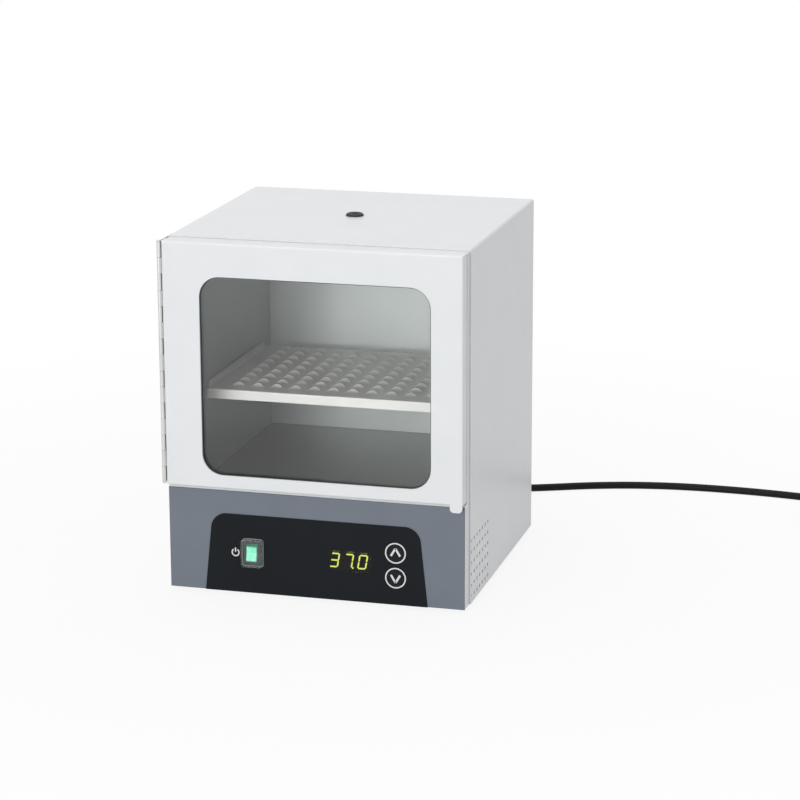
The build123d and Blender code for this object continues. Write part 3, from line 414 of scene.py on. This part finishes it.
grid_x = louvre_pitch * louvre_columns / 2
grid_front = shelf_low.y + louvre_margin - half_pitch
grid_rear = grid_front + louvre_pitch * louvre_rows
sheet_x = (shelf_high.x - shelf_low.x) / 2 - sheet_thickness
folds = []
for side in (-1, 1):
    draw_out(border(0, shelf_middle + side * grid_x), 0, side * (sheet_x - grid_x))
    folds += [(e, side_upstand) for e in border(0, shelf_middle + side * sheet_x)]
rear_edges = border(1, grid_rear)
draw_out(border(1, grid_front), 1, shelf_low.y - grid_front)
draw_out(rear_edges, 1, shelf_high.y - grid_rear)
folds += [(e, -front_lip) for e in border(1, shelf_low.y)]
folds += [
    (e, -rear_lip) for e in border(1, shelf_high.y)
    if all(abs(v.co.x - shelf_middle) < grid_x + same_place for v in e.verts)
]
for height in (side_upstand, -front_lip, -rear_lip):
    draw_out([e for e, fold in folds if fold == height], 2, height)
bmesh.ops.bevel(
    shelf_shape, geom=[e for e, fold in folds], offset=fold_radius, segments=fold_steps,
    affect="EDGES", profile=0.5, material=-1,
)
bmesh.ops.recalc_face_normals(shelf_shape, faces=shelf_shape.faces)
if sum(f.normal.z * f.calc_area() for f in shelf_shape.faces) < 0:
    bmesh.ops.reverse_faces(shelf_shape, faces=shelf_shape.faces)
bmesh.ops.solidify(shelf_shape, geom=list(shelf_shape.faces), thickness=sheet_thickness)
bmesh.ops.translate(shelf_shape, verts=shelf_shape.verts, vec=(0, 0, shelf_high.z - side_upstand))
louvred_shelf = keep(piece_of("louvred_shelf", shelf_shape), shelf_sheet, "shelf_sheet")
flat_from = 0.999
for face in louvred_shelf.data.polygons:
    face.use_smooth = max(abs(part) for part in face.normal) < flat_from
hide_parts("shelf")

# Insulation: slabs of pressed glass fibre, cream and matt, with strands of about 1.5 mm
fibre_slab = grained("pressed_glass_fibre", "C9BF9A", "E0D8BC", 0.95, 0.0015, 0.0004, sheen_weight=0.4)
dress(
    fibre_slab, "insulation_top", "insulation_left", "insulation_right", "insulation_rear",
    "insulation_floor",
)

# Heating mat: silicone rubber on glass cloth, its weave 1.5 mm wide; the cut-out on it is a black moulding
silicone_mat, tree = new_material("woven_silicone_mat")
place = add(tree, "TexCoord", {}).outputs["Object"]
weave_width = 0.0015
weave = add(tree, "TexChecker", {
    "Vector": place, "Scale": 1 / weave_width, "Color1": linear("9C4A22"), "Color2": linear("B0562A"),
})
mat_bump = add(tree, "Bump", {"Height": weave.outputs[1], "Strength": 0.6, "Distance": 0.0001})
mat_shader = add(tree, "BsdfPrincipled", {
    "Base Color": weave.outputs[0], "Roughness": 0.6, "Normal": mat_bump.outputs[0],
})
add(tree, "OutputMaterial", {"Surface": mat_shader.outputs[0]})
dress(silicone_mat, "heater_mat")


# Door: a folded steel pan in the same powder coat, with a clear sheet in its window. A rubber ring shows as
# a thin dark line round the window; a white moulded frame, a soft seal and a steel strike lie behind.
dress(powder_coat, "door_shell")
ring_rubber = grained("extruded_window_rubber", "1A1C1D", "2B2D2E", 0.5, 0.0015, 0.00004)
dress(ring_rubber, "window_trim")
frame_plastic = grained("moulded_white_abs", "D4D6D4", "E1E2E0", 0.4, 0.0012, 0.00003)
dress(frame_plastic, "door_frame")
seal_rubber = grained("soft_grey_silicone", "4A4C4E", "5B5D5F", 0.6, 0.0012, 0.00004)
dress(seal_rubber, "door_seal")


def clear(name, tint, roughness, index, wave, ripple):
    """A clear moulding with a slow ripple, that lets the lamps' light through to what is behind."""
    spread = 0.03
    material, tree = new_material(name)
    place = add(tree, "TexCoord", {}).outputs["Object"]
    swell = add(tree, "TexNoise", {"Vector": place, "Scale": 1 / wave, "Detail": 1.0})
    bump = add(tree, "Bump", {"Height": swell.outputs[0], "Strength": 1.0, "Distance": ripple})
    gloss = {"Value": swell.outputs[0], "To Min": roughness, "To Max": roughness + spread}
    shader = add(tree, "BsdfPrincipled", {
        "Base Color": linear(tint), "Transmission Weight": 1.0, "IOR": index,
        "Roughness": add(tree, "MapRange", gloss).outputs[0], "Normal": bump.outputs[0],
    })
    shade = add(tree, "BsdfTransparent", {"Color": linear(tint)})
    shadow = add(tree, "LightPath", {}).outputs["Is Shadow Ray"]
    both = add(tree, "MixShader", {0: shadow, 1: shader.outputs[0], 2: shade.outputs[0]})
    add(tree, "OutputMaterial", {"Surface": both.outputs[0]})
    return material


# Window: cast acrylic sheet of 3 mm, all but colourless at this thickness
window_sheet = clear("cast_acrylic_window", "FEFFFF", 0.0, 1.49, 0.05, 0.00001)
dress(window_sheet, "window_pane")

# Magnet: black bonded ferrite
dress(grained("bonded_ferrite", "18181A", "232326", 0.75, 0.0007, 0.00005), "magnet_catch")


# Piano hinge: two nickel-plated leaves with fifteen knuckles on one pin. The fixed leaf is held to the
# cabinet's side by four low-headed screws with a cross recess.
hinge_plate = rolled("nickel_plated_strip", "C4C5C4", "DDDDDB", 0.3, 2, 0.000002, 0.9)
dress(hinge_plate, "hinge_body_leaf", "hinge_door_leaf", "hinge_pin")
leaf_low, leaf_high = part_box("leaf_screws")
leaf_radius, leaf_height, leaf_cross = (leaf_high.y - leaf_low.y) / 2, 0.0007, 0.0014
leaf_count, leaf_first_turn, leaf_turn = 4, 0.3, 0.5
leaf_step = (leaf_high.z - leaf_low.z - 2 * leaf_radius) / (leaf_count - 1)
screws = bmesh.new()
for number in range(leaf_count):
    z = leaf_low.z + leaf_radius + leaf_step * number
    turn = leaf_turn * number + leaf_first_turn
    stand = Matrix.Rotation(-math.pi / 2, 4, "Y") @ Matrix.Rotation(turn, 4, "Z")
    spot = Matrix.Translation((leaf_high.x, (leaf_low.y + leaf_high.y) / 2, z))
    screw_head(screws, spot @ stand, leaf_radius, leaf_height, leaf_cross)
leaf_heads = keep(piece_of("leaf_screw_heads", screws), bright_plate)
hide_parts("leaf_screws")


# Control panel: a steel plate in slate paint, with a black screen-printed polyester sheet stuck over it,
# cut out for the switch, the display's lens and the two round keys.
# Slate paint: sprayed, with the same orange peel and a faint gloss over it
slate_paint = grained(
    "slate_grey_paint", "656D77", "6F7782", 0.4, 0.003, 0.00003, coat_weight=0.1, coat_roughness=0.3,
)
dress(slate_paint, "control_panel")
# Polyester overlay: printed on its back, so the front keeps a fine matt grain of 0.8 mm
overlay_film = grained(
    "black_polyester_overlay", "111519", "161A1E", 0.4, 0.0008, 0.00001, specular_ior_level=0.12,
)
dress(overlay_film, "panel_overlay")
# Keycaps: moulded in black with the same matt grain
key_film = grained(
    "black_moulded_keycap", "111519", "171B1F", 0.38, 0.0008, 0.00001, specular_ior_level=0.15,
)
dress(key_film, "key_up", "key_down")
# Lens: acrylic, smoked so dark that only the lit digits show through, with an anti-glare skin that barely
# mirrors and is drawn as a low index
lens_sheet = clear("smoked_acrylic_lens", "54565A", 0.0, 1.34, 0.02, 0.000002)
dress(lens_sheet, "display_lens")
# Display block: a black epoxy-filled case
dress(grained("black_display_case", "0A0A0B", "111113", 0.6, 0.001, 0.00002), "display_module")


def bar(shape, start, end, width, points=True):
    """A flat bar in the panel's plane between two points (x, z), with pointed or square ends."""
    start, end = Vector(start), Vector(end)
    along = (end - start).normalized()
    across = Vector((-along.y, along.x)) * width / 2
    inset = along * width / 2 if points else Vector((0, 0))
    outline = [start + inset + across, end - inset + across, end - inset - across, start + inset - across]
    if points:
        outline[2:2] = [end]
        outline.append(start)
    return shape.faces.new([shape.verts.new((p.x, 0, p.y)) for p in outline])


def stand_out(shape, front, thickness):
    """Gives the flat faces of a mark their thickness: from the front plane towards the panel."""
    out = bmesh.ops.extrude_face_region(shape, geom=list(shape.faces))["geom"]
    back = [g for g in out if isinstance(g, bmesh.types.BMVert)]
    bmesh.ops.translate(shape, verts=list(shape.verts), vec=(0, front, 0))
    bmesh.ops.translate(shape, verts=back, vec=(0, thickness, 0))


# Digits: seven-segment bars of the display, 12.9 mm high and leaning 10 degrees, lit yellow-green.
# Three figures 12.3 mm apart read 37.0, and the light is a little uneven along each bar.
digit_width, digit_height, digit_stroke, digit_pitch = 0.0079, 0.0129, 0.00125, 0.0123
digit_lean = math.tan(math.radians(10.0))
digit_right, digit_low = 0.0232, 0.0326
digit_gap, digit_thickness = 0.0001, 0.0002
dot_radius, dot_shift, dot_sides = digit_stroke * 0.62, digit_stroke * 0.6, 20
light_spread, light_strength = 0.003, 11.0
half_stroke = digit_stroke / 2
left, right = half_stroke, digit_width - half_stroke
low, middle, high = half_stroke, digit_height / 2, digit_height - half_stroke
segments = {
    "a": ((left, high), (right, high)),
    "b": ((right, middle), (right, high)),
    "c": ((right, low), (right, middle)),
    "d": ((left, low), (right, low)),
    "e": ((left, low), (left, middle)),
    "f": ((left, middle), (left, high)),
    "g": ((left, middle), (right, middle)),
}
figures = ("abcdg", "abc", "abcdef")
display_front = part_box("display_module")[0].y
digit_shape = bmesh.new()
for number, lit in enumerate(figures):
    origin = digit_right - digit_width - digit_lean * digit_height + digit_pitch * number
    for letter in lit:
        start, end = (Vector(p) for p in segments[letter])
        inset = (end - start).normalized() * digit_gap
        made = bar(digit_shape, start + inset, end - inset, digit_stroke)
        for v in made.verts:
            v.co.x += origin + digit_lean * v.co.z
            v.co.z += digit_low
dot_x = digit_right + digit_pitch + dot_shift - digit_lean * digit_height
bmesh.ops.create_circle(
    digit_shape, segments=dot_sides, radius=dot_radius, cap_ends=True,
    matrix=Matrix.Translation((dot_x, 0, digit_low + half_stroke)) @ Matrix.Rotation(math.pi / 2, 4, "X"),
)
stand_out(digit_shape, display_front - digit_thickness, digit_thickness)
digit_light, tree = new_material("lit_display_segment")
place = add(tree, "TexCoord", {}).outputs["Object"]
uneven = add(tree, "TexNoise", {"Vector": place, "Scale": 1 / light_spread, "Detail": 1.0})
glow = add(tree, "Mix", {0: uneven.outputs[0], 6: linear("CCDC40"), 7: linear("F4F780")}, data_type="RGBA")
digit_shader = add(tree, "BsdfPrincipled", {
    "Base Color": linear("3A4010"), "Roughness": 0.4,
    "Emission Color": glow.outputs[2], "Emission Strength": light_strength,
})
add(tree, "OutputMaterial", {"Surface": digit_shader.outputs[0]})
keep(piece_of("display_digits", digit_shape), digit_light)

# Printed marks: a ring and a chevron on each round key, and the on-off sign beside the switch, in pale grey
# ink that stands a hair proud of the film.
mark_ink = grained("pale_grey_ink", "D6D8D9", "E8E9E9", 0.5, 0.0008, 0.00001)
ink_height = 0.00006
ring_outer, ring_stroke = 0.0091, 0.00115
chevron_half, chevron_apex, chevron_foot, chevron_stroke = 0.0040, 0.0041, 0.0026, 0.0018


def ring(shape, radius, stroke, degrees=360.0, turn=0.0):
    """A flat ring or arc about the origin in the panel's plane, from the top round."""
    step_degrees = 6
    steps = int(degrees / step_degrees)
    aim = Matrix.Rotation(math.radians(turn), 3, "Y")
    ends = [shape.verts.new(aim @ Vector((0, 0, r))) for r in (radius - stroke, radius)]
    edge = shape.edges.new(ends)
    bmesh.ops.spin(
        shape, geom=ends + [edge], cent=(0, 0, 0), axis=(0, 1, 0), dvec=(0, 0, 0),
        angle=math.radians(degrees), steps=steps, use_merge=degrees == 360.0,
    )


for key, up in (("up_key", 1), ("down_key", -1)):
    node = "key_" + key.split("_")[0]
    key_low, key_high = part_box(node)
    key_middle = (key_low + key_high) / 2
    mark = bmesh.new()
    ring(mark, ring_outer, ring_stroke)
    apex = Vector((0, up * chevron_apex))
    for side in (-1, 1):
        bar(mark, apex, (side * chevron_half, -up * chevron_foot), chevron_stroke, points=False)
    for v in mark.verts:
        v.co += Vector((key_middle.x, 0, key_middle.z))
    stand_out(mark, key_low.y - ink_height, ink_height)
    keep(piece_of(key + "_mark", mark), mark_ink, key)

sign_middle, sign_radius, sign_stroke, sign_open = (-0.069575, 0.0392), 0.0036, 0.0011, 70.0
sign_bar_foot, sign_bar_reach = 0.0004, 0.0006
sign = bmesh.new()
ring(sign, sign_radius, sign_stroke, 360.0 - sign_open, sign_open / 2)
bar(sign, (0, sign_radius + sign_bar_reach), (0, sign_bar_foot), sign_stroke, points=False)
for v in sign.verts:
    v.co += Vector((sign_middle[0], 0, sign_middle[1]))
stand_out(sign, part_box("panel_overlay")[0].y - ink_height, ink_height)
keep(piece_of("power_sign", sign), mark_ink)

# Mains switch: a black snap-in body, a green lit rocker of translucent nylon, and a soft clear hood over it.
switch_plastic = grained("moulded_black_nylon", "0F1012", "18191B", 0.4, 0.0009, 0.00003)
dress(switch_plastic, "switch_body")
# Rocker: its lamp lights a pale window a little left of its middle, and the nylon round it stays deep green
rocker_low, rocker_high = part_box("rocker")
lit_shift = Vector((-0.0009, 0, -0.0008))
lit_middle = (rocker_low + rocker_high) / 2 + lit_shift
lit_half_width, lit_half_height, lit_edge = 0.0048, 0.0060, 0.0006
pearl_size, rocker_glow = 0.004, 0.2
rocker_nylon, tree = new_material("lit_green_nylon")
place = add(tree, "TexCoord", {}).outputs["Object"]
pearl = add(tree, "TexNoise", {"Vector": place, "Scale": 1 / pearl_size, "Detail": 2.0})
lit_green = add(tree, "Mix", {
    0: pearl.outputs[0], 6: linear("3DAE88"), 7: linear("96E8C8"),
}, data_type="RGBA")
offset = add(tree, "VectorMath", {0: place, 1: lit_middle}, operation="SUBTRACT")
offset = add(tree, "VectorMath", {0: offset.outputs[0]}, operation="ABSOLUTE")
offset = add(tree, "SeparateXYZ", {0: offset.outputs[0]})
across, upright = [
    add(tree, "MapRange", {
        "Value": offset.outputs[axis], "From Min": reach - lit_edge, "From Max": reach + lit_edge,
        "To Min": 1.0, "To Max": 0.0,
    }).outputs[0]
    for axis, reach in (("X", lit_half_width), ("Z", lit_half_height))
]
lit = add(tree, "Math", {0: across, 1: upright}, operation="MULTIPLY")
green = add(tree, "Mix", {
    0: lit.outputs[0], 6: linear("0F5541"), 7: lit_green.outputs[2],
}, data_type="RGBA")
rocker_shader = add(tree, "BsdfPrincipled", {
    "Base Color": green.outputs[2], "Roughness": 0.25,
    "Emission Color": green.outputs[2], "Emission Strength": rocker_glow,
    "Subsurface Weight": 0.2, "Subsurface Radius": (0.001, 0.002, 0.0015),
})
add(tree, "OutputMaterial", {"Surface": rocker_shader.outputs[0]})
dress(rocker_nylon, "rocker")
# Hood: clear soft vinyl with a faint milky cast where a wall is seen edge-on, and a painted highlight:
# a white rim round its foot that stands for the bright edge line of the clear walls
foot_plane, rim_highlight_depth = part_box("switch_hood")[1].y, 0.001
swell_size, swell_depth = 0.004, 0.00005
milky_from, milky_to, most_milk = 0.6, 0.95, 0.25
hood_vinyl, tree = new_material("soft_clear_vinyl")
place = add(tree, "TexCoord", {}).outputs["Object"]
swell = add(tree, "TexNoise", {"Vector": place, "Scale": 1 / swell_size, "Detail": 1.0})
hood_bump = add(tree, "Bump", {"Height": swell.outputs[0], "Strength": 1.0, "Distance": swell_depth})
vinyl = add(tree, "BsdfPrincipled", {
    "Base Color": linear("F4FAF8"), "Transmission Weight": 1.0, "IOR": 1.42, "Roughness": 0.03,
    "Normal": hood_bump.outputs[0],
})
haze_and_highlight_white = add(tree, "BsdfPrincipled", {
    "Base Color": linear("EEF0F0"), "Roughness": 0.3, "Normal": hood_bump.outputs[0],
})
edge_on = add(tree, "LayerWeight", {"Blend": 0.5}).outputs["Facing"]
cast = add(tree, "MapRange", {
    "Value": edge_on, "From Min": milky_from, "From Max": milky_to, "To Min": 0.0, "To Max": most_milk,
})
depth = add(tree, "SeparateXYZ", {0: place}).outputs["Y"]
# Painted highlight: the last millimetre of the hood before its foot is painted white.
rim = add(tree, "Math", {0: depth, 1: foot_plane - rim_highlight_depth}, operation="GREATER_THAN")
haze_and_rim_highlight = add(tree, "Math", {0: cast.outputs[0], 1: rim.outputs[0]}, operation="MAXIMUM")
hazy_and_highlit_vinyl = add(tree, "MixShader", {0: haze_and_rim_highlight.outputs[0], 1: vinyl.outputs[0], 2: haze_and_highlight_white.outputs[0]})
shade = add(tree, "BsdfTransparent", {"Color": linear("E8F0EE")})
shadow = add(tree, "LightPath", {}).outputs["Is Shadow Ray"]
both = add(tree, "MixShader", {0: shadow, 1: hazy_and_highlit_vinyl.outputs[0], 2: shade.outputs[0]})
add(tree, "OutputMaterial", {"Surface": both.outputs[0]})
dress(hood_vinyl, "switch_hood")

# Inside the foot of the cabinet: two green circuit boards on brass posts, with moulded black parts, a white
# terminal block, a varnished transformer and a glass fuse. A grey flat cable joins the boards.
board_film = grained("green_circuit_board", "0E4A26", "17602F", 0.35, 0.0025, 0.00003)
dress(board_film, "power_board", "control_board")
turned_brass = grained("turned_brass", "A88A4A", "C6A760", 0.3, 0.0012, 0.00001, metallic=1.0)
dress(turned_brass, "front_standoffs", "power_standoffs", "plug_blades")
dress(switch_plastic, "relay", "key_switches", "thermal_cutout")
varnished_core = grained("varnished_steel_core", "4A3A20", "6B5633", 0.45, 0.0012, 0.00006, metallic=0.4)
dress(varnished_core, "transformer")
dress(tube_plastic, "terminal_block")
dress(clear("blown_glass_tube", "F4F7F5", 0.0, 1.5, 0.01, 0.00001), "fuse")
# Flat cable: grey vinyl, its cores drawn 2.5 mm apart
core_pitch = 0.0025136
ribbon_vinyl, tree = new_material("grey_ribbon_vinyl")
place = add(tree, "TexCoord", {}).outputs["Object"]
cores = add(tree, "TexWave", {"Vector": place, "Scale": wave_span / core_pitch}, bands_direction="X")
ribbon_tone = add(tree, "Mix", {
    0: cores.outputs[1], 6: linear("8B8D90"), 7: linear("B4B6B8"),
}, data_type="RGBA")
ribbon_bump = add(tree, "Bump", {"Height": cores.outputs[1], "Strength": 1.0, "Distance": 0.0002})
ribbon_shader = add(tree, "BsdfPrincipled", {
    "Base Color": ribbon_tone.outputs[2], "Roughness": 0.5, "Normal": ribbon_bump.outputs[0],
})
add(tree, "OutputMaterial", {"Surface": ribbon_shader.outputs[0]})
dress(ribbon_vinyl, "ribbon_cable")


# Studio: a wide white table under a soft overhead lamp and one from the front, in an even pale room. The
# camera, gloss and glass see the room as plain white, and the table whitens out a metre away.
def seen_white(tree):
    """One where the camera, gloss or glass looks, and nought where a surface is lit."""
    path = add(tree, "LightPath", {})
    seen = path.outputs["Is Camera Ray"]
    for ray in ("Is Glossy Ray", "Is Transmission Ray"):
        seen = add(tree, "Math", {0: seen, 1: path.outputs[ray]}, operation="MAXIMUM").outputs[0]
    return seen


room = bpy.data.worlds.new("room")
bpy.context.scene.world = room
room.use_nodes = True
room.node_tree.nodes.clear()
room_level = 0.5
strength = add(room.node_tree, "MapRange", {
    "Value": seen_white(room.node_tree), "To Min": room_level, "To Max": 1.0,
})
light = add(room.node_tree, "Background", {"Color": linear("FFFFFF"), "Strength": strength.outputs[0]})
add(room.node_tree, "OutputWorld", {"Surface": light.outputs[0]})

table_half, fibre_size = 14.0, 0.01
fade_near, fade_far, white_near = 0.2, 0.9, 0.88
table_shape = bmesh.new()
bmesh.ops.create_grid(table_shape, x_segments=1, y_segments=1, size=table_half)
table_mesh = bpy.data.meshes.new("table")
table_shape.to_mesh(table_mesh)
table_shape.free()
table = bpy.data.objects.new("table", table_mesh)
table_paper, tree = new_material("white_table_paper")
place = add(tree, "TexCoord", {}).outputs["Object"]
fibres = add(tree, "TexNoise", {"Vector": place, "Scale": 1 / fibre_size, "Detail": 2.0})
paper_tone = add(tree, "Mix", {
    0: fibres.outputs[0], 6: linear("E6E6E6"), 7: linear("ECECEC"),
}, data_type="RGBA")
paper = add(tree, "BsdfDiffuse", {"Color": paper_tone.outputs[2]})
white = add(tree, "Emission", {"Color": linear("FFFFFF"), "Strength": 1.0})
far = add(tree, "VectorMath", {0: place}, operation="LENGTH")
fade = add(tree, "MapRange", {
    "Value": far.outputs["Value"], "From Min": fade_near, "From Max": fade_far,
    "To Min": white_near, "To Max": 1.0,
})
share = add(tree, "Math", {0: seen_white(tree), 1: fade.outputs[0]}, operation="MULTIPLY")
mixed = add(tree, "MixShader", {0: share.outputs[0], 1: paper.outputs[0], 2: white.outputs[0]})
add(tree, "OutputMaterial", {"Surface": mixed.outputs[0]})
table.data.materials.append(table_paper)
bpy.context.scene.collection.objects.link(table)

lamp_target = Vector((0, 0, 0.15))
lamps = {
    "front_lamp": ((-0.3, -3.2, 0.75), 1.1, 36.6),
    "top_lamp": ((-0.2, -0.1, 2.6), 1.8, 22.5),
}
for name, (place, size, power) in lamps.items():
    lamp_data = bpy.data.lights.new(name, "AREA")
    lamp_data.size = size
    lamp_data.energy = power
    lamp = bpy.data.objects.new(name, lamp_data)
    aim = lamp_target - Vector(place)
    lamp.matrix_world = Matrix.Translation(place) @ aim.to_track_quat("-Z", "Y").to_matrix().to_4x4()
    bpy.context.scene.collection.objects.link(lamp)
